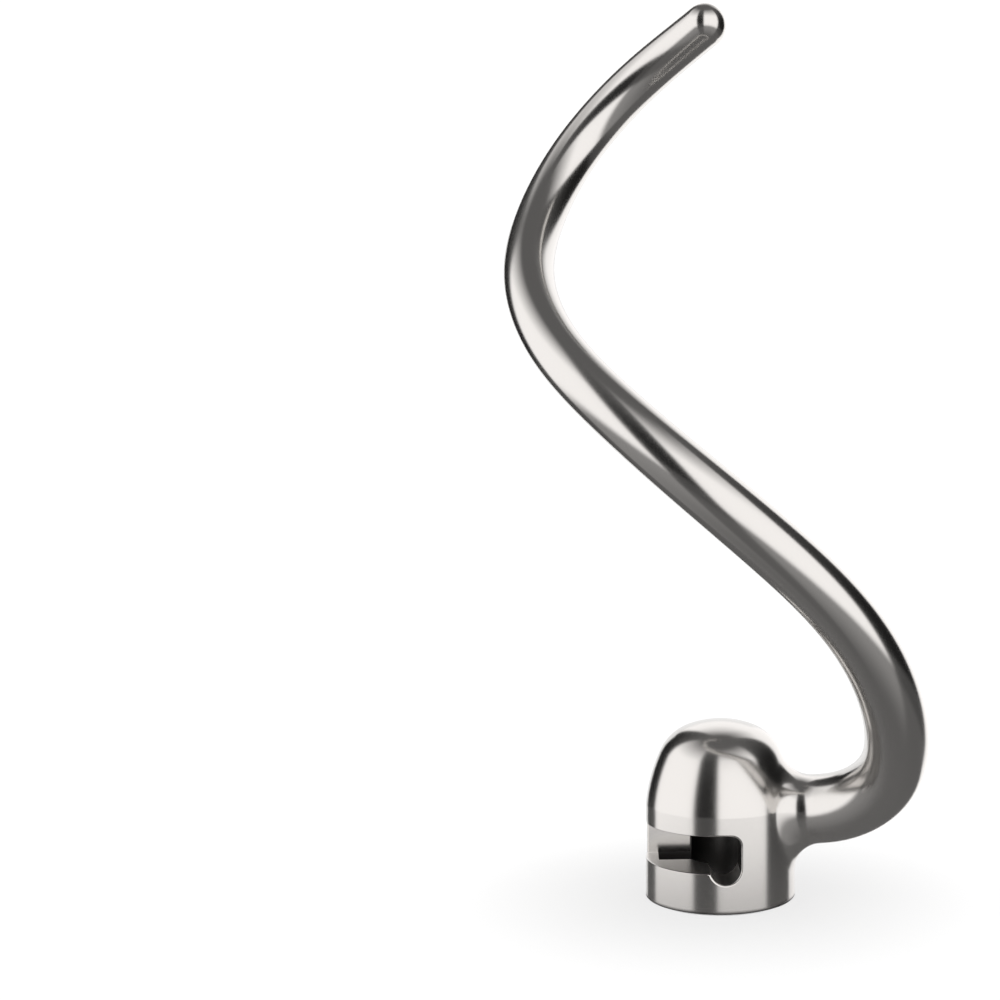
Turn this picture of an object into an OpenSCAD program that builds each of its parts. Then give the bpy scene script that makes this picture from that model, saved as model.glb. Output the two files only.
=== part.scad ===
// Spiral dough hook for a stand mixer, forged as one piece with its mounting hub.
// It stands on the mouth of its hub: the origin is the centre of the mouth, +Z runs along
// the bore towards the dome, and +X points to the side where the arm leaves the hub.
// All lengths are millimetres.

/* [Hub] */
// Outer diameter of the hub
hub_d = 30; // [28:0.5:33]
// Height of the straight wall, from the mouth to the start of the dome
wall_h = 18.5; // [18:0.5:22]
// Radius of the long curve up the side of the dome
side_r = 33; // [30:1:40]
// Radius of the shoulder between the side and the crown
shoulder_r = 9.8; // [8:0.2:11]
// Chamfer round the mouth, outside and inside
rim_chamfer = 0.4; // [0.2:0.1:0.8]

/* [Bore] */
// Diameter of the blind bore that takes the drive shaft
bore_d = 12.9; // [12.8:0.1:13.4]
// Depth of the bore from the mouth
bore_depth = 27; // [22:1:28]

/* [Bayonet slot] */
// Height of the slot's floor above the mouth
slot_floor = 7.7; // [7:0.1:9]
// Height of the slot's ceiling above the mouth
slot_ceiling = 14.8; // [14:0.1:16]
// Width of the keyway that lets the shaft's cross pin in
keyway_w = 6; // [5.5:0.1:6.5]
// Depth of the keyway, measured from the hub's axis
keyway_reach = 12.4; // [11:0.1:12.6]
// Width of the notch that the cross pin settles into
notch_w = 6.2; // [6:0.1:7]
// Lowest point of the notch above the mouth
notch_bottom = 5.6; // [5:0.1:6.5]
// Radius of the slot's upper corner beside the notch
slot_corner_r = 2; // [1:0.2:3]
// Turn of the notch from the hub's front, towards the arm
slot_turn = 4; // [0:1:8]

/* [Rod] */
// Scale of the rod's thickness along its whole length
rod_thickness = 1; // [0.95:0.01:1.05]
// Radius of the blend between the arm and the hub
blend_r = 6; // [4:0.2:7]

/* [Smoothness] */
// Flats round the rod
rod_sides = 36; // [24:4:40]
// Rings along the rod
rod_rings = 132; // [80:4:140]

/* [Hidden] */
$fn = 96;
cut = 0.05;
hub_r = hub_d / 2;
bore_r = bore_d / 2;
notch_r = notch_w / 2;
notch_z = notch_bottom + notch_r;

// Slope of the dome's outline from the vertical, where each of its arcs begins
side_slope = 6;
shoulder_slope = 24.5;
crown_slope = 70;
arc_steps = 8;
shoulder_start = [hub_r, wall_h] + arc_move(side_r, side_slope, shoulder_slope);
crown_start = shoulder_start + arc_move(shoulder_r, shoulder_slope, crown_slope);
crown_r = crown_start[0] / cos(crown_slope);
hub_top = crown_start[1] + crown_r * (1 - sin(crown_slope));

// Control points of the rod's smooth curve: x, y, z and the rod's diameter there
rod_stations = [
    [-30, 12.5, 18.5, 10.4],
    [-10.5, 9, 17.6, 12.2],
    [9, 2.4, 17.2, 13.8],
    [24, -5.7, 17.2, 13.6],
    [35, -14.5, 26.7, 12.6],
    [31.5, -29, 44.5, 11.6],
    [22.5, -36.5, 59, 11],
    [9.5, -40.5, 71, 10.8],
    [-5, -42.5, 83, 10.4],
    [-19, -38, 95, 10],
    [-31, -29.5, 107, 9.8],
    [-37, -19, 120.5, 9.6],
    [-36.5, -5.5, 134, 9.6],
    [-30.5, 3.5, 150, 9.4],
    [-17.5, 3, 164.5, 9.2],
    [-3, -5, 173, 8.4],
    [11, -19.5, 180, 8.6]
];
spans = len(rod_stations) - 3;
// Share of the first span that is left out, so that the rod starts well inside the hub
root_skip = 0.75;
tip_rings = 8;
// Share of the rod's curve that lies in the blend with the hub, and the rings it gets
root_share = 0.095;
root_rings = 24;

// Move along an arc of the outline whose slope from the vertical goes from a to b
function arc_move(r, a, b) = [r * (cos(b) - cos(a)), r * (sin(b) - sin(a))];

// Points on such an arc after its start
function arc_points(start, r, a, b) =
    [for (i = [1 : arc_steps]) start + arc_move(r, a, a + (b - a) * i / arc_steps)];

// Point on a smooth cubic curve through four neighbouring control points, f from 0 to 1
function spline_point(p, f) =
    (pow(1 - f, 3) * p[0] + (3 * pow(f, 3) - 6 * pow(f, 2) + 4) * p[1]
    + (-3 * pow(f, 3) + 3 * pow(f, 2) + 3 * f + 1) * p[2] + pow(f, 3) * p[3]) / 6;

// Point and diameter of the rod at t, from 0 inside the hub to 1 at the tip
function rod_at(t) =
    let (s = min(root_skip + t * (spans - root_skip), spans - 0.000001), i = floor(s))
    spline_point([for (k = [0 : 3]) rod_stations[i + k]], s - i);

// Where along the curve ring i stands: the rings are closer together in the blend
function ring_t(i) =
    i < root_rings
    ? root_share * i / root_rings
    : root_share + (1 - root_share) * (i - root_rings) / (rod_rings - root_rings);

function place(station) = [station[0], station[1], station[2]];
function unit(v) = v / norm(v);

// Direction of the rod at t
function rod_direction(t) =
    unit(place(rod_at(min(t + 0.002, 1))) - place(rod_at(max(t - 0.002, 0))));

// Blend in front of the arm, seen from above: a circle outside the hub, touching it
blend_turn = -46.5;
blend_touch = hub_r * [cos(blend_turn), sin(blend_turn)];
blend_centre = (hub_r + blend_r) * [cos(blend_turn), sin(blend_turn)];
// How far out the blends over and under the arm reach, measured along X
blend_top_end = 17.8;
blend_bottom_end = 20.6;
inset = 0.2;

// Distance from p along direction d to a circle, all seen from above: its near or far side
function circle_gap(p, d, c, r) = pow(d * (c - p), 2) - (c - p) * (c - p) + r * r;
function near_reach(p, d, c, r) = d * (c - p) - sqrt(circle_gap(p, d, c, r));
function far_reach(p, d, c, r) = d * (c - p) + sqrt(circle_gap(p, d, c, r));

// Half width of the rod's front at p, where the rod runs along d and its own radius is r
function front_reach(p, d, r) =
    let (side = [d[1], -d[0]] / norm([d[0], d[1]]), here = [p[0], p[1]])
    (blend_centre - here) * [d[0], d[1]] <= 0 || p[2] > hub_top ? r
    : norm(here) < hub_r && exit_x(here, side) < blend_touch[0]
    ? far_reach(here, side, [0, 0], hub_r) - inset
    : circle_gap(here, side, blend_centre, blend_r) < 0 ? r
    : max(r, near_reach(here, side, blend_centre, blend_r));
function exit_x(here, side) = here[0] + side[0] * far_reach(here, side, [0, 0], hub_r);

// Height that the blend over or under the arm adds at x, where end is its outer end
function blend_rise(x, end) =
    x >= end ? 0 : blend_r - sqrt(blend_r * blend_r - pow(min(end - x, blend_r), 2));

// Ring of points about p, square to direction d: half widths towards front, back, up, down
function ring(p, d, front, back, top, bottom) =
    let (side = unit(cross(d, [0, 0, 1])), up = cross(side, d))
    [for (k = [0 : rod_sides - 1])
        let (c = cos(360 * k / rod_sides), s = sin(360 * k / rod_sides))
        p + side * c * (c > 0 ? front : back) + up * s * (s > 0 ? top : bottom)];

// Rings from the hub to the tip, then the rings of the tip's half ball
function body_ring(t) =
    let (s = rod_at(t), p = place(s), d = rod_direction(t), r = s[3] / 2 * rod_thickness)
    p[2] > hub_top ? ring(p, d, r, r, r, r)
    : ring(p, d, front_reach(p, d, r), r,
        r + blend_rise(p[0], blend_top_end), r + blend_rise(p[0], blend_bottom_end));
function cap_rings() =
    let (s = rod_at(1), p = place(s), d = rod_direction(1), r = s[3] / 2 * rod_thickness)
    [for (i = [1 : tip_rings - 1])
        let (a = 90 * i / tip_rings, w = r * cos(a))
        ring(p + d * r * sin(a), d, w, w, w, w)];

// Outline of the solid hub, turned about the axis
function hub_outline() = concat(
    [[0, 0], [hub_r - rim_chamfer, 0], [hub_r, rim_chamfer], [hub_r, wall_h]],
    arc_points([hub_r, wall_h], side_r, side_slope, shoulder_slope),
    arc_points(shoulder_start, shoulder_r, shoulder_slope, crown_slope),
    arc_points(crown_start, crown_r, crown_slope, 90)
);

module hub_blank() {
    rotate_extrude() polygon(hub_outline());
}

// The arm and the whole spiral rod, as one closed skin
module rod() {
    rings = concat([for (i = [0 : rod_rings]) body_ring(ring_t(i))], cap_rings());
    count = len(rings);
    end = rod_at(1);
    tip = place(end) + rod_direction(1) * end[3] / 2 * rod_thickness;
    points = concat([for (r = rings) each r], [place(rod_at(0)), tip]);
    root_index = count * rod_sides;
    tip_index = root_index + 1;
    skin = [for (i = [0 : count - 2], k = [0 : rod_sides - 1])
        let (a = i * rod_sides + k, b = i * rod_sides + (k + 1) % rod_sides)
        each [[a, b, a + rod_sides], [b, b + rod_sides, a + rod_sides]]];
    root_cap = [for (k = [0 : rod_sides - 1]) [(k + 1) % rod_sides, k, root_index]];
    last = (count - 1) * rod_sides;
    tip_cap = [for (k = [0 : rod_sides - 1])
        [last + k, last + (k + 1) % rod_sides, tip_index]];
    polyhedron(points = points, faces = concat(skin, root_cap, tip_cap), convexity = 8);
}

// Blind bore with a chamfered mouth
module bore() {
    translate([0, 0, -cut]) cylinder(d = bore_d, h = bore_depth + cut);
    translate([0, 0, -cut])
        cylinder(r1 = bore_r + rim_chamfer + cut, r2 = bore_r, h = rim_chamfer + cut);
}

// Channel inside the wall that lets the pin in from the mouth, up to the slot's ceiling
module keyway() {
    translate([-keyway_reach, -keyway_w / 2, -cut])
        cube([keyway_reach, keyway_w, slot_ceiling + cut]);
}

// Quarter turn that the pin makes from the keyway to the notch, open through the wall
module pin_path() {
    translate([0, 0, slot_floor])
        rotate([0, 0, 180])
        rotate_extrude(angle = 90)
        square([hub_r + 1, slot_ceiling - slot_floor]);
    translate([-hub_r - 1, -keyway_w / 2, slot_floor])
        cube([hub_r + 1, keyway_w, slot_ceiling - slot_floor]);
}

// Outline of the notch, looking at the hub's front: round below, one round corner above
module notch_outline() {
    translate([0, notch_z]) circle(r = notch_r);
    translate([-notch_r, notch_z])
        square([notch_w, slot_ceiling - slot_corner_r - notch_z]);
    translate([-notch_r, slot_ceiling - slot_corner_r - cut])
        square([notch_w - slot_corner_r, slot_corner_r + cut]);
    translate([notch_r - slot_corner_r, slot_ceiling - slot_corner_r])
        circle(r = slot_corner_r);
}

module notch() {
    rotate([90, 0, 0]) linear_extrude(hub_r + 1) notch_outline();
}

module bayonet_slot() {
    rotate([0, 0, slot_turn]) {
        keyway();
        pin_path();
        notch();
    }
}

module dough_hook() {
    color("silver")
        difference() {
            union() {
                hub_blank();
                rod();
            }
            bore();
            bayonet_slot();
        }
}

dough_hook();
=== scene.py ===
"""Spiral dough hook of polished steel, standing on the mouth of its hub. All lengths are in metres."""
import math

import bmesh
import bpy
import numpy as np
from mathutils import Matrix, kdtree


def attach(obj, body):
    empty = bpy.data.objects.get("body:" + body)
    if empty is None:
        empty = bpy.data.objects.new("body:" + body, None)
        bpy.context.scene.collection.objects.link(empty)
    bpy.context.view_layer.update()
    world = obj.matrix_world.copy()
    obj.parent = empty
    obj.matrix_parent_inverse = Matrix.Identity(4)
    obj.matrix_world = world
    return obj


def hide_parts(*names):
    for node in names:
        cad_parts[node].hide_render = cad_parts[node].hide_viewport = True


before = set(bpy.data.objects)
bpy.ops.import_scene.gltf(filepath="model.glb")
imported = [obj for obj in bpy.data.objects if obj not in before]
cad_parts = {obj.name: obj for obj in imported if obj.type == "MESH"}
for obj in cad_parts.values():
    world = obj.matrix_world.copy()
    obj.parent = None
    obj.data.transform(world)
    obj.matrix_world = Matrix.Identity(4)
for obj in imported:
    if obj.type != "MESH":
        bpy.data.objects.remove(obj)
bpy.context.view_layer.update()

MM = 0.001

# Hub: a straight wall, then a dome of three arcs
HUB_R = 14.99 * MM
WALL_H = 18.5 * MM
SIDE_R = 33 * MM
SHOULDER_R = 9.8 * MM
SIDE_SLOPE, SHOULDER_SLOPE, CROWN_SLOPE = (math.radians(a) for a in (6, 24.5, 70))
RIM_CHAMFER = 0.4 * MM
FOOT_CHAMFER = 0.15 * MM

# Bore, keyway and bayonet slot
BORE_R = 6.45 * MM
BORE_DEPTH = 27 * MM
SLOT_FLOOR = 7.7 * MM
SLOT_CEILING = 14.8 * MM
KEYWAY_HALF = 3 * MM
KEYWAY_REACH = 12.4 * MM
NOTCH_R = 3.1 * MM
NOTCH_BOTTOM = 5.6 * MM
SLOT_CORNER_R = 2 * MM
SLOT_TURN = math.radians(4)
EDGE_ROUND = 0.35 * MM
# Width of that rounding, as a share: round the notch, and along the rest of the slot
NOTCH_SPREAD, PATH_SPREAD = 1.4, 0.4

# Control points of the rod's smooth curve: x, y, z and the rod's diameter there, in millimetres
ROD_STATIONS = np.array([
    (-30, 12.5, 18.5, 10.4),
    (-10.5, 9, 17.6, 12.2),
    (9, 2.4, 17.2, 13.8),
    (24, -5.7, 17.2, 13.6),
    (35, -14.5, 26.7, 12.6),
    (31.5, -29, 44.5, 11.6),
    (22.5, -36.5, 59, 11),
    (9.5, -40.5, 71, 10.8),
    (-5, -42.5, 83, 10.4),
    (-19, -38, 95, 10),
    (-31, -29.5, 107, 9.8),
    (-37, -19, 120.5, 9.6),
    (-36.5, -5.5, 134, 9.6),
    (-30.5, 3.5, 150, 9.4),
    (-17.5, 3, 164.5, 9.2),
    (-3, -5, 173, 8.4),
    (11, -19.5, 180, 8.6),
]) * MM
ROOT_SKIP = 0.75
BLEND_R = 6 * MM
# The smooth skin is drawn this far inside the rod, so that it doesn't stand out of the solid's flats
SKIN_INSET = 0.03 * MM

# Fineness of the mesh
SPINE_STEPS = 120
VOXEL = 0.5 * MM
PROJECTIONS = 5
SLOT_STEPS = 40
EDGE_STEPS = 6
CUT_R = 17 * MM
BALL_STEPS = 8
BALL_MISS = 0.01 * MM
LEAST_SPREAD = 0.02
# Level and upright faces larger than these are shaded flat
LEVEL_AREA, UPRIGHT_AREA = 3 * MM ** 2, 20 * MM ** 2

# Painted shadow on the clear floor, a grey diffuse patch that also takes the real shadow: its middle, its reach and
# its strength
PATCH_X = 0 * MM
PATCH_R = 75 * MM
PATCH_SHARE = 0.3
# Width and strength of the painted contact shadow just outside the mouth, where the hub's own shadow falls
CONTACT = 0.8 * MM
CONTACT_SHARE = 0.8


def arc_centre(start, radius, slope):
    return np.array([start[0] - radius * math.cos(slope), start[1] - radius * math.sin(slope)])


def arc_end(centre, radius, slope):
    return np.array([centre[0] + radius * math.cos(slope), centre[1] + radius * math.sin(slope)])


SIDE_CENTRE = arc_centre((HUB_R, WALL_H), SIDE_R, SIDE_SLOPE)
SHOULDER_START = arc_end(SIDE_CENTRE, SIDE_R, SHOULDER_SLOPE)
SHOULDER_CENTRE = arc_centre(SHOULDER_START, SHOULDER_R, SHOULDER_SLOPE)
CROWN_START = arc_end(SHOULDER_CENTRE, SHOULDER_R, CROWN_SLOPE)
CROWN_R = CROWN_START[0] / math.cos(CROWN_SLOPE)
CROWN_CENTRE = arc_centre(CROWN_START, CROWN_R, CROWN_SLOPE)
HUB_TOP = CROWN_CENTRE[1] + CROWN_R


def new_object(name, vertices, faces):
    mesh = bpy.data.meshes.new(name)
    mesh.from_pydata([tuple(v) for v in vertices], [], faces)
    mesh.validate()
    piece = bpy.data.objects.new(name, mesh)
    bpy.context.scene.collection.objects.link(piece)
    return piece


def ring_faces(rings, sides):
    """Quads between rings of points that follow each other."""
    return [
        (i * sides + k, i * sides + (k + 1) % sides, (i + 1) * sides + (k + 1) % sides, (i + 1) * sides + k)
        for i in range(rings - 1)
        for k in range(sides)
    ]


def lathe(name, outline, sides):
    """Closed solid turned about Z from an outline of (radius, height) that runs upwards."""
    angles = np.arange(sides) * 2 * math.pi / sides
    rings = [[(r * math.cos(a), r * math.sin(a), z) for a in angles] for r, z in outline]
    vertices = [p for ring in rings for p in ring]
    faces = ring_faces(len(outline), sides)
    faces.append(tuple(reversed(range(sides))))
    faces.append(tuple(range((len(outline) - 1) * sides, len(outline) * sides)))
    return new_object(name, vertices, faces)


# The rod's curve, sampled finely

def rod_samples():
    """Points, radii and unit directions along the rod's curve."""
    spans = len(ROD_STATIONS) - 3
    s = np.linspace(ROOT_SKIP, spans, spans * SPINE_STEPS + 1)
    i = np.minimum(s.astype(int), spans - 1)
    f = (s - i)[:, None]
    p = [ROD_STATIONS[i + k] for k in range(4)]
    curve = ((1 - f) ** 3 * p[0] + (3 * f ** 3 - 6 * f ** 2 + 4) * p[1]
             + (-3 * f ** 3 + 3 * f ** 2 + 3 * f + 1) * p[2] + f ** 3 * p[3]) / 6
    points, radii = curve[:, :3], curve[:, 3] / 2 - SKIN_INSET
    directions = np.gradient(points, axis=0)
    directions /= np.linalg.norm(directions, axis=1)[:, None]
    return points, radii, directions


SPINE, SPINE_RADII, SPINE_DIRECTIONS = rod_samples()
SPINE_TREE = kdtree.KDTree(len(SPINE))
for index, point in enumerate(SPINE):
    SPINE_TREE.insert(point, index)
SPINE_TREE.balance()


def rod_distance(points):
    """Distance to the rod's surface and its outward direction, for each point."""
    nearest = np.array([SPINE_TREE.find(p)[1] for p in points])
    along = np.einsum("ij,ij->i", points - SPINE[nearest], SPINE_DIRECTIONS[nearest])
    along[nearest == len(SPINE) - 1] = np.minimum(along[nearest == len(SPINE) - 1], 0)
    along[nearest == 0] = np.maximum(along[nearest == 0], 0)
    step = np.linalg.norm(SPINE[1] - SPINE[0])
    radii = SPINE_RADII[nearest] + along * np.gradient(SPINE_RADII)[nearest] / step
    away = points - SPINE[nearest] - along[:, None] * SPINE_DIRECTIONS[nearest]
    length = np.linalg.norm(away, axis=1)
    return length - radii, away / np.maximum(length, 1e-9)[:, None]


def hub_distance(points):
    """Distance to the hub's outer surface and its outward direction, for each point."""
    rho = np.linalg.norm(points[:, :2], axis=1)
    z = points[:, 2]
    flat = np.column_stack([rho, z])
    arcs = [(SIDE_CENTRE, SIDE_R), (SHOULDER_CENTRE, SHOULDER_R), (CROWN_CENTRE, CROWN_R)]
    slopes = [np.arctan2(z - c[1], rho - c[0]) for c, r in arcs]
    distance = rho - HUB_R
    normal = np.column_stack([np.ones_like(rho), np.zeros_like(rho)])
    crease = (z > WALL_H) & (rho > HUB_R)
    chosen = [
        (z > WALL_H) & (slopes[0] >= SIDE_SLOPE) & (slopes[0] < SHOULDER_SLOPE),
        (slopes[0] >= SHOULDER_SLOPE) & (slopes[1] < CROWN_SLOPE) & (z > WALL_H),
        (slopes[0] >= SHOULDER_SLOPE) & (slopes[1] >= CROWN_SLOPE) & (z > WALL_H),
    ]
    edge = crease & (slopes[0] < SIDE_SLOPE)
    for mask, centre, radius in [(edge, np.array([HUB_R, WALL_H]), 0)] + [
            (m, c, r) for m, (c, r) in zip(chosen, arcs)]:
        away = flat[mask] - centre
        length = np.maximum(np.linalg.norm(away, axis=1), 1e-9)
        distance[mask] = length - radius
        normal[mask] = away / length[:, None]
    outward = points[:, :2] / np.maximum(rho, 1e-9)[:, None]
    return distance, np.column_stack([outward * normal[:, :1], normal[:, 1]])


def across(hub_gap, rod_gap, hub_normal, rod_normal):
    """Shares of the two normals that together close the gaps to both surfaces."""
    lean = np.einsum("ij,ij->i", hub_normal, rod_normal)
    spread = np.maximum(1 - lean ** 2, LEAST_SPREAD)
    return (hub_gap - lean * rod_gap) / spread, (rod_gap - lean * hub_gap) / spread


def ball_centres(points):
    """Centres of the blend's rolling ball, each square to the crease from its point, with both normals."""
    centres = points.copy()
    for _ in range(BALL_STEPS):
        hub, hub_normal = hub_distance(centres)
        rod, rod_normal = rod_distance(centres)
        a, b = across(BLEND_R - hub, BLEND_R - rod, hub_normal, rod_normal)
        move = a[:, None] * hub_normal + b[:, None] * rod_normal
        length = np.maximum(np.linalg.norm(move, axis=1), 1e-9)
        centres = centres + move * np.minimum(1, BLEND_R / length)[:, None]
        crease = np.cross(hub_normal, rod_normal)
        crease /= np.maximum(np.linalg.norm(crease, axis=1), 1e-9)[:, None]
        centres += crease * np.einsum("ij,ij->i", points - centres, crease)[:, None]
    return centres, hub_distance(centres), rod_distance(centres)


def body_distance(points):
    """Distance to the hub and rod, joined by a rolling ball's blend, and its outward direction."""
    hub, hub_normal = hub_distance(points)
    rod, rod_normal = rod_distance(points)
    distance = np.minimum(hub, rod)
    outward = np.where((hub < rod)[:, None], hub_normal, rod_normal)
    near = np.flatnonzero((hub < 2 * BLEND_R) & (rod < 2 * BLEND_R) & (np.maximum(hub, rod) > -BLEND_R))
    if len(near) == 0:
        return distance, outward
    centres, (hub, hub_normal), (rod, rod_normal) = ball_centres(points[near])
    to_ball = centres - points[near]
    a, b = across(np.einsum("ij,ij->i", to_ball, hub_normal), np.einsum("ij,ij->i", to_ball, rod_normal),
                  hub_normal, rod_normal)
    touching = (np.abs(hub - BLEND_R) < BALL_MISS) & (np.abs(rod - BLEND_R) < BALL_MISS)
    reach = np.maximum(np.linalg.norm(to_ball, axis=1), 1e-9)
    blended = touching & (a > 0) & (b > 0) & (reach < 2 * BLEND_R)
    distance[near[blended]] = (BLEND_R - reach)[blended]
    outward[near[blended]] = (to_ball / reach[:, None])[blended]
    return distance, outward


def vertices_of(mesh):
    flat = np.empty(len(mesh.vertices) * 3)
    mesh.vertices.foreach_get("co", flat)
    return flat.reshape(-1, 3)


def settle_on_body(mesh):
    """Moves every vertex onto the blended surface of hub and rod."""
    points = vertices_of(mesh)
    for _ in range(PROJECTIONS):
        distance, outward = body_distance(points)
        points = points - outward * distance[:, None]
    mesh.vertices.foreach_set("co", points.ravel())
    mesh.update()


def remesh(piece, voxel):
    modifier = piece.modifiers.new("remesh", "REMESH")
    modifier.mode = "VOXEL"
    modifier.voxel_size = voxel
    apply_modifiers(piece)


def apply_modifiers(piece):
    graph = bpy.context.evaluated_depsgraph_get()
    mesh = bpy.data.meshes.new_from_object(piece.evaluated_get(graph))
    piece.modifiers.clear()
    piece.data = mesh


def join(pieces):
    """One object with the meshes of several."""
    merged = bmesh.new()
    for piece in pieces:
        merged.from_mesh(piece.data)
    mesh = bpy.data.meshes.new(pieces[0].name)
    merged.to_mesh(mesh)
    merged.free()
    for piece in pieces[1:]:
        bpy.data.objects.remove(piece)
    pieces[0].data = mesh
    return pieces[0]


def arc_outline(centre, radius, low, high, steps):
    return [arc_end(centre, radius, low + (high - low) * i / steps) for i in range(1, steps + 1)]


def hub_solid():
    below = -4 * MM
    outline = [(HUB_R, below), (HUB_R, WALL_H)]
    outline += arc_outline(SIDE_CENTRE, SIDE_R, SIDE_SLOPE, SHOULDER_SLOPE, 8)
    outline += arc_outline(SHOULDER_CENTRE, SHOULDER_R, SHOULDER_SLOPE, CROWN_SLOPE, 12)
    outline += arc_outline(CROWN_CENTRE, CROWN_R, CROWN_SLOPE, math.radians(89), 8)
    return lathe("hub", outline, 96)


def rod_solid():
    """Tube along the rod's curve, with a half ball at the tip."""
    sides = 32
    picked = range(0, len(SPINE), 8)
    rings = []
    for i in list(picked) + [len(SPINE) - 1]:
        rings.append((SPINE[i], SPINE_DIRECTIONS[i], SPINE_RADII[i]))
    end, direction, radius = rings[-1]
    for k in range(1, 8):
        a = k * math.pi / 16
        rings.append((end + direction * radius * math.sin(a), direction, radius * math.cos(a)))
    vertices = []
    for centre, direction, radius in rings:
        side = np.cross(direction, (0, 0, 1))
        side /= np.linalg.norm(side)
        up = np.cross(side, direction)
        for k in range(sides):
            a = 2 * math.pi * k / sides
            vertices.append(centre + radius * (side * math.cos(a) + up * math.sin(a)))
    faces = [tuple(reversed(f)) for f in ring_faces(len(rings), sides)]
    faces.append(tuple(range(sides)))
    faces.append(tuple(reversed(range((len(rings) - 1) * sides, len(rings) * sides))))
    return new_object("rod", vertices, faces)


def hook_body():
    """Hub and rod in one skin, with the blend between them, before the bore and slot are cut."""
    piece = join([hub_solid(), rod_solid()])
    for voxel in (2 * VOXEL, VOXEL):
        remesh(piece, voxel)
        settle_on_body(piece.data)
    return piece


# Cutters

def mouth_cutter():
    """Everything below the mouth, with the chamfer round its rim."""
    wide = HUB_R + 5 * MM
    low = -8 * MM
    outline = [(wide, low), (wide, 1 * MM), (HUB_R + 1 * MM - FOOT_CHAMFER, 1 * MM), (HUB_R - FOOT_CHAMFER, 0)]
    return lathe("mouth_cutter", outline, 192)


def bore_cutter():
    low = -9 * MM
    flare = BORE_R + RIM_CHAMFER
    outline = [(flare, low), (flare, 0), (BORE_R, RIM_CHAMFER), (BORE_R, BORE_DEPTH)]
    return lathe("bore_cutter", outline, 192)


def prism(name, outline, low, high):
    """Closed solid that stands on an outline of (x, y), anticlockwise from above."""
    count = len(outline)
    vertices = [(x, y, z) for z in (low, high) for x, y in outline]
    faces = ring_faces(2, count)
    faces.append(tuple(reversed(range(count))))
    faces.append(tuple(range(count, 2 * count)))
    return new_object(name, vertices, faces)


def arc(centre, radius, start, end, steps):
    """Points on an arc, in the plane of its centre, from one angle in degrees to another."""
    angles = np.radians(np.linspace(start, end, steps + 1))
    return [(centre[0] + radius * math.cos(a), centre[1] + radius * math.sin(a)) for a in angles]


def keyway_cutter():
    outline = [(-KEYWAY_REACH, -KEYWAY_HALF), (0, -KEYWAY_HALF), (0, KEYWAY_HALF), (-KEYWAY_REACH, KEYWAY_HALF)]
    return prism("keyway_cutter", outline, -9 * MM, SLOT_CEILING - 0.01 * MM)


def pin_path_cutter():
    """Quarter turn from the keyway to the notch, open through the wall."""
    outline = [(0, KEYWAY_HALF), (-CUT_R, KEYWAY_HALF)] + arc((0, 0), CUT_R, 180, 270, 16)
    return prism("pin_path_cutter", outline, SLOT_FLOOR, SLOT_CEILING)


def notch_outline():
    """The notch seen from outside, anticlockwise: round below, one round corner above."""
    outline = arc((0, NOTCH_BOTTOM + NOTCH_R), NOTCH_R, 180, 360, 32)
    outline += arc((NOTCH_R - SLOT_CORNER_R, SLOT_CEILING - SLOT_CORNER_R), SLOT_CORNER_R, 0, 90, 12)
    return outline + [(-NOTCH_R, SLOT_CEILING)]


def notch_cutter():
    piece = prism("notch_cutter", notch_outline(), 0, CUT_R)
    points = vertices_of(piece.data)[:, [0, 2, 1]] * (1, -1, 1)
    piece.data.vertices.foreach_set("co", points.ravel())
    return piece


def slot_outline():
    """The whole slot where it leaves the wall, anticlockwise from outside: (angle about the axis, height)."""
    meet = math.sqrt(NOTCH_R ** 2 - (NOTCH_BOTTOM + NOTCH_R - SLOT_FLOOR) ** 2)
    front = 1.5 * math.pi
    left = math.pi - math.asin(KEYWAY_HALF / HUB_R)
    right = front - math.asin(meet / HUB_R)
    floor = [(a, SLOT_FLOOR) for a in np.linspace(left, right, SLOT_STEPS + 1)[:-1]]
    ceiling = [(a, SLOT_CEILING) for a in np.linspace(right, left, SLOT_STEPS + 1)]
    turn = math.degrees(math.atan2(NOTCH_BOTTOM + NOTCH_R - SLOT_FLOOR, meet))
    notch = arc((0, NOTCH_BOTTOM + NOTCH_R), NOTCH_R, 180 + turn, 360, 24)
    notch += arc((NOTCH_R - SLOT_CORNER_R, SLOT_CEILING - SLOT_CORNER_R), SLOT_CORNER_R, 0, 90, 10)
    return floor + [(front + math.asin(x / HUB_R), z) for x, z in notch] + ceiling


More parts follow.
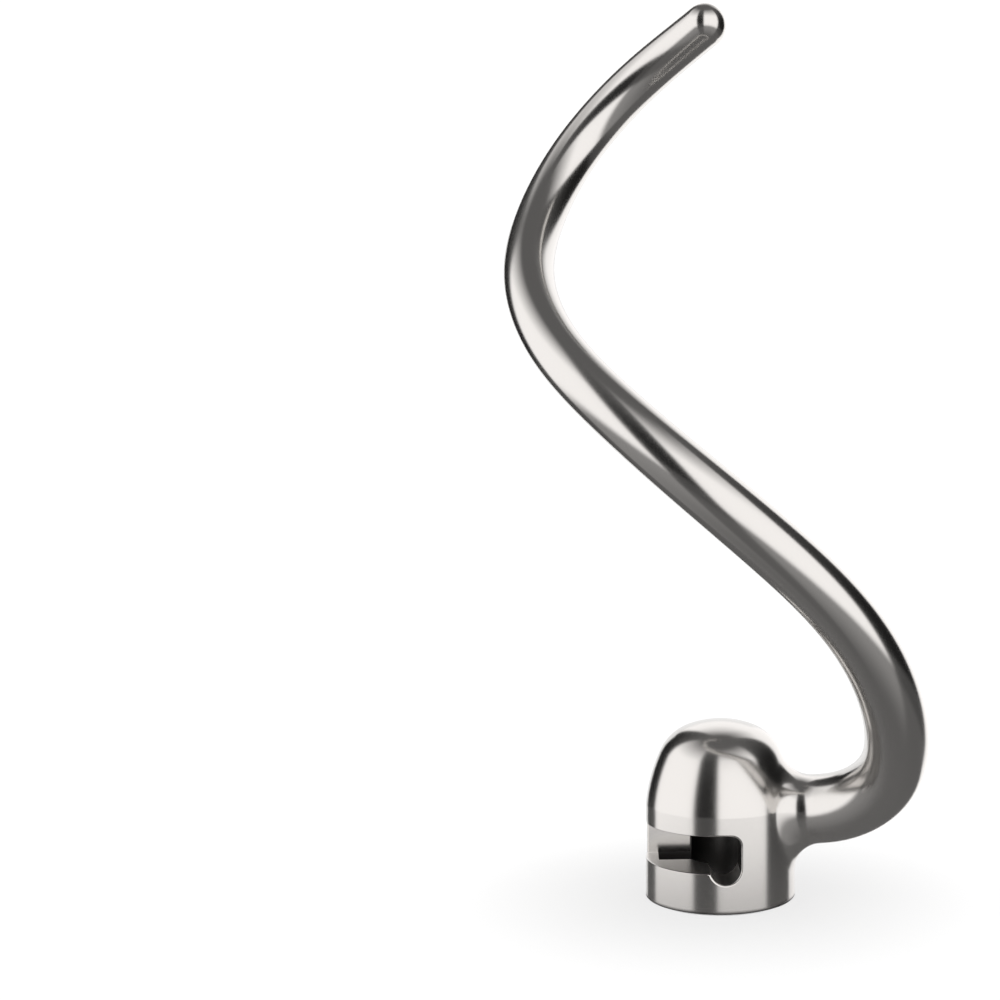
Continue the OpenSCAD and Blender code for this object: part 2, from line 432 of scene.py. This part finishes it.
def edge_cutter():
    """Rounds the outer edge of the slot: the slot's outline, spreading as it comes out of the wall."""
    outline = np.array(slot_outline()) * (HUB_R, 1)
    before = outline - np.roll(outline, 1, axis=0)
    after = np.roll(outline, -1, axis=0) - outline
    before /= np.linalg.norm(before, axis=1)[:, None]
    after /= np.linalg.norm(after, axis=1)[:, None]
    outward = np.column_stack([before[:, 1] + after[:, 1], -before[:, 0] - after[:, 0]])
    outward /= np.linalg.norm(outward, axis=1)[:, None]
    outward /= np.einsum("ij,ij->i", outward, np.column_stack([after[:, 1], -after[:, 0]]))[:, None]
    at_notch = np.abs(outline[:, 0] / HUB_R - 1.5 * math.pi) < math.asin(NOTCH_R / HUB_R) + 0.001
    outward *= np.where(at_notch, NOTCH_SPREAD, PATH_SPREAD)[:, None]
    start = HUB_R - EDGE_ROUND
    layers = [(start - 0.5 * MM, -0.1 * MM), (start, -0.01 * MM)]
    for k in range(1, EDGE_STEPS + 1):
        a = k * math.pi / 2 / EDGE_STEPS
        layers.append((start + EDGE_ROUND * math.sin(a), EDGE_ROUND * (1 - math.cos(a))))
    layers.append((HUB_R + 1 * MM, EDGE_ROUND))
    vertices = []
    for radius, spread in layers:
        for turn, z in outline + outward * spread:
            vertices.append((radius * math.cos(turn / HUB_R), radius * math.sin(turn / HUB_R), z))
    count = len(outline)
    faces = ring_faces(len(layers), count)
    faces.append(tuple(reversed(range(count))))
    faces.append(tuple(range((len(layers) - 1) * count, len(layers) * count)))
    return new_object("edge_cutter", vertices, faces)


def fix_normals(mesh):
    shape = bmesh.new()
    shape.from_mesh(mesh)
    bmesh.ops.recalc_face_normals(shape, faces=shape.faces)
    shape.to_mesh(mesh)
    shape.free()


def cut(piece, cutters):
    for cutter in cutters:
        modifier = piece.modifiers.new(cutter.name, "BOOLEAN")
        modifier.operation = "DIFFERENCE"
        modifier.solver = "MANIFOLD"
        modifier.object = cutter
        fix_normals(cutter.data)
        before = len(piece.data.polygons)
        apply_modifiers(piece)
        print("cut", cutter.name, before, len(piece.data.polygons))
    for cutter in cutters:
        bpy.data.objects.remove(cutter)


def smooth_normals(mesh):
    """Smooth shading with the blended surface's own normals, flat on large flat faces, sharp where cutters met it."""
    mesh.shade_smooth()
    mesh.set_sharp_from_angle(angle=math.radians(28))
    points = vertices_of(mesh)
    distance, outward = body_distance(points)
    on_body = np.abs(distance) < 0.02 * MM
    normals = np.empty(len(mesh.loops) * 3)
    mesh.corner_normals.foreach_get("vector", normals)
    normals = normals.reshape(-1, 3)
    loop_vertex = np.empty(len(mesh.loops), dtype=np.int32)
    mesh.loops.foreach_get("vertex_index", loop_vertex)
    wanted = outward[loop_vertex]
    close = (wanted * normals).sum(axis=1) > math.cos(math.radians(20))
    use = on_body[loop_vertex] & close
    normals[use] = wanted[use]
    sizes = np.empty(len(mesh.polygons))
    mesh.polygons.foreach_get("area", sizes)
    own = np.empty(len(mesh.polygons) * 3)
    mesh.polygons.foreach_get("normal", own)
    own = own.reshape(-1, 3)
    corners = np.empty(len(mesh.polygons), dtype=np.int32)
    mesh.polygons.foreach_get("loop_total", corners)
    level = np.abs(own[:, 2]) > 0.999
    flat = np.repeat(sizes > np.where(level, LEVEL_AREA, UPRIGHT_AREA), corners)
    normals[flat] = np.repeat(own, corners, axis=0)[flat]
    mesh.normals_split_custom_set(normals.tolist())


def turned(pieces, angle):
    """The same pieces, turned about the hub's axis."""
    turn = np.array([[math.cos(angle), -math.sin(angle), 0], [math.sin(angle), math.cos(angle), 0], [0, 0, 1]])
    for piece in pieces:
        points = vertices_of(piece.data) @ turn.T
        piece.data.vertices.foreach_set("co", points.ravel())
    return pieces


def dough_hook():
    piece = hook_body()
    slot = turned([keyway_cutter(), pin_path_cutter(), notch_cutter(), edge_cutter()], SLOT_TURN)
    cut(piece, [mouth_cutter(), bore_cutter()] + slot)
    smooth_normals(piece.data)
    piece.name = "polished_dough_hook"
    piece.data.name = piece.name
    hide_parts("dough_hook")
    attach(piece, "root")
    return piece


# Materials

def socket(tree, target, value):
    """Sets an input to a number, or links it to an output."""
    if isinstance(value, bpy.types.NodeSocket):
        tree.links.new(value, target)
    else:
        target.default_value = value


def calculate(tree, operation, a, b=0.0):
    node = tree.nodes.new("ShaderNodeMath")
    node.operation = operation
    socket(tree, node.inputs[0], a)
    socket(tree, node.inputs[1], b)
    return node.outputs[0]


def ramp(tree, value, start, end, curve="SMOOTHSTEP"):
    """0 where the value is at start or before it, 1 from end on."""
    node = tree.nodes.new("ShaderNodeMapRange")
    node.interpolation_type = curve
    node.clamp = True
    socket(tree, node.inputs["Value"], value)
    node.inputs["From Min"].default_value = start
    node.inputs["From Max"].default_value = end
    return node.outputs["Result"]


def every(tree, first, *others):
    """1 where all the masks are 1, 0 elsewhere."""
    for other in others:
        first = calculate(tree, "MULTIPLY", first, other)
    return first


def below(tree, value, limit):
    return calculate(tree, "LESS_THAN", value, limit)


def slot_masks(tree, place, rho):
    """Masks of the keyway's walls under the slot's floor, of that floor with the notch's lower half, of the walls."""
    cos, sin = math.cos(SLOT_TURN), math.sin(SLOT_TURN)
    along = calculate(tree, "ADD", calculate(tree, "MULTIPLY", place["X"], cos),
                      calculate(tree, "MULTIPLY", place["Y"], sin))
    across = calculate(tree, "SUBTRACT", calculate(tree, "MULTIPLY", place["Y"], cos),
                       calculate(tree, "MULTIPLY", place["X"], sin))
    low = below(tree, place["Z"], SLOT_FLOOR + 0.05 * MM)
    in_keyway = every(tree, low, below(tree, calculate(tree, "ABSOLUTE", across), KEYWAY_HALF + 0.05 * MM),
                      below(tree, along, 0.0), below(tree, -KEYWAY_REACH - 0.05 * MM, along))
    beside_notch = below(tree, along, -NOTCH_R - 0.4 * MM)
    within = calculate(tree, "ADD", HUB_R - EDGE_ROUND - 0.05 * MM,
                       calculate(tree, "MULTIPLY", beside_notch, EDGE_ROUND))
    on_floor = every(tree, low, below(tree, rho, within))
    on_wall = every(tree, calculate(tree, "SUBTRACT", 1.0, low), below(tree, place["Z"], SLOT_CEILING + 0.1 * MM),
                    below(tree, rho, HUB_R - EDGE_ROUND))
    return in_keyway, on_floor, on_wall


def steel():
    """Polished steel with a fine grain. The drilled bore, the keyway and a band at the foot of the wall are rougher
    and painted dark as shade; the slot's walls get painted shade and its floor a painted highlight.
    """
    material = bpy.data.materials.new("polished_steel")
    material.use_nodes = True
    tree = material.node_tree
    shader = tree.nodes["Principled BSDF"]
    shader.inputs["Metallic"].default_value = 1
    place = tree.nodes.new("ShaderNodeTexCoord").outputs["Object"]
    split = tree.nodes.new("ShaderNodeSeparateXYZ")
    tree.links.new(place, split.inputs[0])
    square_x = calculate(tree, "POWER", split.outputs["X"], 2)
    square_y = calculate(tree, "POWER", split.outputs["Y"], 2)
    rho = calculate(tree, "SQRT", calculate(tree, "ADD", square_x, square_y))
    # Painted shade: the bore, the keyway under the slot and a band at the foot of the wall take a dark steel colour,
    # and are made rougher
    in_bore = every(tree, below(tree, rho, BORE_R + 0.25 * MM),
                    below(tree, split.outputs["Z"], BORE_DEPTH + 0.5 * MM))
    in_keyway, on_floor, on_wall = slot_masks(tree, split.outputs, rho)
    # Painted contact shadow: a dark band along the foot of the hub's wall, just above the mouth
    foot_shade = ramp(tree, split.outputs["Z"], 0.8 * MM, 0.1 * MM)
    dark = calculate(tree, "MAXIMUM", calculate(tree, "MAXIMUM", in_bore, in_keyway), foot_shade)
    lit = calculate(tree, "SUBTRACT", 1.0, dark)
    # Painted highlight: the slot's floor and the notch's lower half get a lighter steel colour than the rest
    on_floor = every(tree, on_floor, lit)
    color = tree.nodes.new("ShaderNodeMix")
    color.data_type = "RGBA"
    color.inputs["A"].default_value = (0.66, 0.645, 0.625, 1)
    color.inputs["B"].default_value = (0.1, 0.097, 0.094, 1)
    tree.links.new(dark, color.inputs["Factor"])
    # Painted shade: the slot's walls take a darker steel colour; the floor's lighter colour is the painted highlight
    # above
    parts = ((on_wall, (0.47, 0.46, 0.446, 1)), (on_floor, (0.9, 0.885, 0.865, 1)))
    for share, tone in parts:
        over = tree.nodes.new("ShaderNodeMix")
        over.data_type = "RGBA"
        over.inputs["B"].default_value = tone
        tree.links.new(color.outputs["Result"], over.inputs["A"])
        tree.links.new(calculate(tree, "MULTIPLY", share, lit), over.inputs["Factor"])
        color = over
    tree.links.new(color.outputs["Result"], shader.inputs["Base Color"])
    grain = tree.nodes.new("ShaderNodeTexNoise")
    grain.inputs["Scale"].default_value = 2500
    grain.inputs["Detail"].default_value = 3
    tree.links.new(place, grain.inputs["Vector"])
    polish = tree.nodes.new("ShaderNodeMapRange")
    polish.inputs["To Min"].default_value = 0.14
    polish.inputs["To Max"].default_value = 0.22
    tree.links.new(grain.outputs["Fac"], polish.inputs["Value"])
    rough = calculate(tree, "MULTIPLY", dark, 0.22)
    rough = calculate(tree, "ADD", rough, calculate(tree, "MULTIPLY", on_floor, 0.15))
    tree.links.new(calculate(tree, "ADD", polish.outputs["Result"], rough), shader.inputs["Roughness"])
    return material


def shown_white(name, glow, albedo=0.85):
    """Pale matte surface that the camera and mirrors also see lit by itself."""
    material = bpy.data.materials.new(name)
    material.use_nodes = True
    tree = material.node_tree
    tree.nodes.clear()
    matte = tree.nodes.new("ShaderNodeBsdfDiffuse")
    matte.inputs["Color"].default_value = (albedo, albedo, albedo, 1)
    light = tree.nodes.new("ShaderNodeEmission")
    light.inputs["Color"].default_value = (1, 1, 1, 1)
    path = tree.nodes.new("ShaderNodeLightPath")
    seen = calculate(tree, "ADD", path.outputs["Is Camera Ray"], path.outputs["Is Glossy Ray"])
    seen = calculate(tree, "ADD", seen, path.outputs["Is Transmission Ray"])
    seen = calculate(tree, "MINIMUM", seen, 1.0)
    socket(tree, light.inputs["Strength"], calculate(tree, "MULTIPLY", seen, glow))
    both = tree.nodes.new("ShaderNodeAddShader")
    tree.links.new(matte.outputs[0], both.inputs[0])
    tree.links.new(light.outputs[0], both.inputs[1])
    out = tree.nodes.new("ShaderNodeOutputMaterial")
    tree.links.new(both.outputs[0], out.inputs["Surface"])
    return material


def plane(name, corners, material):
    piece = new_object(name, corners, [(0, 1, 2, 3)])
    piece.data.materials.append(material)
    return piece


def shadow_patch_plate(name):
    """Clear plate with a grey diffuse patch round the hub: a painted shadow that fades with distance and also takes
    the hook's real soft shadow.
    """
    material = bpy.data.materials.new(name)
    material.use_nodes = True
    tree = material.node_tree
    tree.nodes.clear()
    place = tree.nodes.new("ShaderNodeTexCoord").outputs["Object"]
    split = tree.nodes.new("ShaderNodeSeparateXYZ")
    tree.links.new(place, split.inputs[0])
    away_x = calculate(tree, "POWER", calculate(tree, "SUBTRACT", split.outputs["X"], PATCH_X), 2)
    away_y = calculate(tree, "POWER", split.outputs["Y"], 2)
    away = calculate(tree, "SQRT", calculate(tree, "ADD", away_x, away_y))
    # Painted shadow: the patch's grey share fades out with distance from the hub
    share = calculate(tree, "MULTIPLY", ramp(tree, away, PATCH_R, 0), PATCH_SHARE)
    # Painted contact shadow: more grey share in a thin ring at the mouth, strongest in front of and behind the hub,
    # gone at its sides
    contact = calculate(tree, "MULTIPLY", ramp(tree, away, HUB_R + CONTACT, HUB_R), CONTACT_SHARE)
    facing = calculate(tree, "DIVIDE", away_y, calculate(tree, "ADD", away_x, away_y))
    contact = calculate(tree, "MULTIPLY", contact, calculate(tree, "POWER", facing, 2))
    share = calculate(tree, "MAXIMUM", share, contact)
    clear = tree.nodes.new("ShaderNodeBsdfTransparent")
    matte = tree.nodes.new("ShaderNodeBsdfDiffuse")
    matte.inputs["Color"].default_value = (0.5, 0.5, 0.5, 1)
    mix = tree.nodes.new("ShaderNodeMixShader")
    tree.links.new(share, mix.inputs["Fac"])
    tree.links.new(clear.outputs[0], mix.inputs[1])
    tree.links.new(matte.outputs[0], mix.inputs[2])
    out = tree.nodes.new("ShaderNodeOutputMaterial")
    tree.links.new(mix.outputs[0], out.inputs["Surface"])
    return material


def floor_and_backdrop():
    """Clear floor plate just under the mouth, and a white wall far behind it."""
    half = 0.4
    level = -0.02 * MM
    plane("floor", [(-half, -half, level), (half, -half, level), (half, half, level), (-half, half, level)],
          shadow_patch_plate("floor_with_painted_shadow"))
    left, right, low, high, away = -2.77, 1.1, -1.88, 2.05, 5
    plane("backdrop", [(left, away, low), (right, away, low), (right, away, high), (left, away, high)],
          shown_white("backdrop", 1.0, 0.1))


def between(tree, value, low, high, soft):
    """1 between two limits, 0 outside, with soft edges."""
    rise = ramp(tree, value, low - soft, low + soft)
    return calculate(tree, "MULTIPLY", rise, ramp(tree, value, high + soft, high - soft))


def studio():
    """Large softboxes left, right and behind in a dark room. Azimuth 0 is towards the camera; in degrees."""
    world = bpy.data.worlds.new("studio")
    bpy.context.scene.world = world
    world.use_nodes = True
    tree = world.node_tree
    background = tree.nodes["Background"]
    direction = tree.nodes.new("ShaderNodeTexCoord").outputs["Generated"]
    split = tree.nodes.new("ShaderNodeSeparateXYZ")
    tree.links.new(direction, split.inputs[0])
    toward = calculate(tree, "MULTIPLY", split.outputs["Y"], -1)
    azimuth = calculate(tree, "DEGREES", calculate(tree, "ARCTAN2", split.outputs["X"], toward))
    elevation = calculate(tree, "DEGREES", calculate(tree, "ARCSINE", split.outputs["Z"]))
    fade = ramp(tree, elevation, 73, 32, "LINEAR")
    left = between(tree, azimuth, -118.5, -41, 3.5)
    right = between(tree, azimuth, -4.5, 75, 3.5)
    front = calculate(tree, "ADD", left, right)
    left = calculate(tree, "MULTIPLY", left, ramp(tree, elevation, -27, -11))
    right = calculate(tree, "MULTIPLY", right, ramp(tree, elevation, -27, -10))
    boxes = calculate(tree, "MULTIPLY", calculate(tree, "ADD", left, right), fade)
    behind = calculate(tree, "MULTIPLY", ramp(tree, azimuth, 127, 135), ramp(tree, elevation, -34, -28))
    far_left = calculate(tree, "MULTIPLY", ramp(tree, azimuth, -154, -162), ramp(tree, elevation, -6, 0))
    behind = calculate(tree, "ADD", behind, far_left)
    behind = calculate(tree, "MULTIPLY", behind, ramp(tree, elevation, 75, 38, "LINEAR"))
    boxes = calculate(tree, "MULTIPLY", calculate(tree, "MAXIMUM", boxes, behind), 1.35)
    skirt = calculate(tree, "MULTIPLY", front, ramp(tree, elevation, -78, -20))
    skirt = calculate(tree, "MULTIPLY", calculate(tree, "MULTIPLY", skirt, ramp(tree, elevation, 0, -20)), 0.2)
    below = calculate(tree, "MULTIPLY", ramp(tree, elevation, -4, -12), 0.075)
    below = calculate(tree, "ADD", below, calculate(tree, "MULTIPLY", ramp(tree, elevation, -21, -31), 0.055))
    above = calculate(tree, "MULTIPLY", ramp(tree, elevation, 15, 75), 0.13)
    room = calculate(tree, "ADD", calculate(tree, "ADD", below, above), 0.012)
    total = calculate(tree, "MAXIMUM", boxes, calculate(tree, "ADD", room, skirt))
    tree.links.new(total, background.inputs["Strength"])
    background.inputs["Color"].default_value = (1, 0.985, 0.983, 1)


def camera():
    """The photograph's view: level, 50 mm lens, the hub's axis right of the middle."""
    data = bpy.data.cameras.new("camera")
    data.lens = 50
    data.sensor_width = 36
    image = 1000
    axis_column = 720.3
    data.shift_x = (image / 2 - axis_column) / image
    piece = bpy.data.objects.new("camera", data)
    piece.location = (0, -280 * MM, 79.2 * MM)
    piece.rotation_euler = (math.radians(90), 0, 0)
    data.clip_start = 0.01
    data.clip_end = 20
    bpy.context.scene.collection.objects.link(piece)
    bpy.context.scene.camera = piece


camera()
hook = dough_hook()
hook.data.materials.clear()
hook.data.materials.append(steel())
floor_and_backdrop()
studio()
bpy.context.scene.view_settings.view_transform = "Standard"
